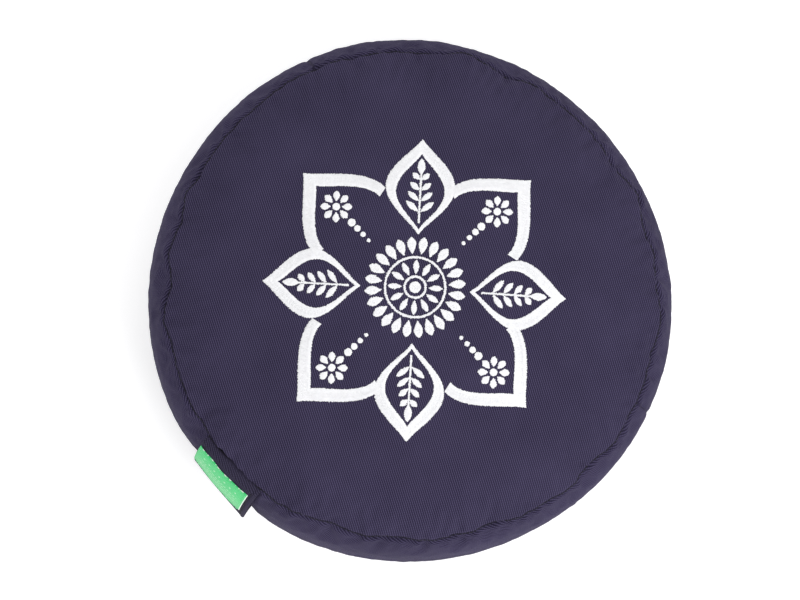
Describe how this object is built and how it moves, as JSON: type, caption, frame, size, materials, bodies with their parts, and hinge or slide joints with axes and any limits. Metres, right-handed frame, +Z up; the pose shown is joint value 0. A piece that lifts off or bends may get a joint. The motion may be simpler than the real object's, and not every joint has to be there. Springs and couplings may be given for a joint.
{
  "type": "floor cushion",
  "caption": "Round floor cushion: a domed, embroidered twill cover with a carry strap and a zip round the back, over a hull-filled inner bag.",
  "frame": {"origin": "middle of the flat underside, on the cushion's axis", "axes": "+Z up along the cushion's axis, the carry strap at -Y, the cover's zip round +Y"},
  "size_m": [0.3318, 0.3393, 0.1511],
  "materials": {
    "navy_twill": "matt cotton twill with a steep diagonal wale",
    "white_thread": "silky machine embroidery thread",
    "navy_thread": "sewing thread",
    "green_label": "woven satin label",
    "navy_tape": "woven zip tape",
    "navy_coil": "nylon coil",
    "dark_metal": "dark plated zinc, satin",
    "natural_cotton": "unbleached plain weave",
    "natural_tape": "unbleached zip tape and coil",
    "buckwheat_hulls": "loose dry hulls"
  },
  "bodies": {
    "cushion": {"cover_top_panel": "navy_twill", "cover_bottom_panel": "navy_twill", "side_band": "navy_twill", "zip_strip_upper": "navy_twill", "zip_strip_lower": "navy_twill", "top_seam_thread": "navy_thread", "bottom_seam_thread": "navy_thread", "embroidered_petals": "white_thread", "embroidered_centre": "white_thread", "carry_strap": "navy_twill", "strap_label": "green_label", "cover_zip_tape_upper": "navy_tape", "cover_zip_tape_lower": "navy_tape", "cover_zip_coil_upper": "navy_coil", "cover_zip_coil_lower": "navy_coil", "cover_zip_closed_stop": "dark_metal", "cover_zip_open_stop": "dark_metal", "bag_top_panel": "natural_cotton", "bag_bottom_panel": "natural_cotton", "bag_side_band": "natural_cotton", "bag_strip_upper": "natural_cotton", "bag_strip_lower": "natural_cotton", "bag_zip_tape_upper": "natural_tape", "bag_zip_tape_lower": "natural_tape", "bag_zip_coil_upper": "natural_tape", "bag_zip_coil_lower": "natural_tape", "bag_zip_closed_stop": "dark_metal", "bag_zip_open_stop": "dark_metal", "hull_filling": "buckwheat_hulls"},
    "cover_slider": {"cover_zip_slider": "dark_metal"},
    "cover_pull": {"cover_zip_pull": "dark_metal"},
    "bag_slider": {"bag_zip_slider": "dark_metal"}
  },
  "joints": [
    {"name": "cover_zip_travel", "type": "hinge", "parent": "cushion", "child": "cover_slider", "pos_m": [0, 0, 0.032], "axis": [0, 0, 1], "range_deg": [0, 131]},
    {"name": "cover_pull_flip", "type": "hinge", "parent": "cover_slider", "child": "cover_pull", "pos_m": [0.15082, 0.06796, 0.03116], "axis": [-0.2317, -0.1044, -0.9672], "range_deg": [0, 170]},
    {"name": "bag_zip_travel", "type": "hinge", "parent": "cushion", "child": "bag_slider", "pos_m": [0, 0, 0.092], "axis": [0, 0, 1], "range_deg": [0, 89]}
  ]
}
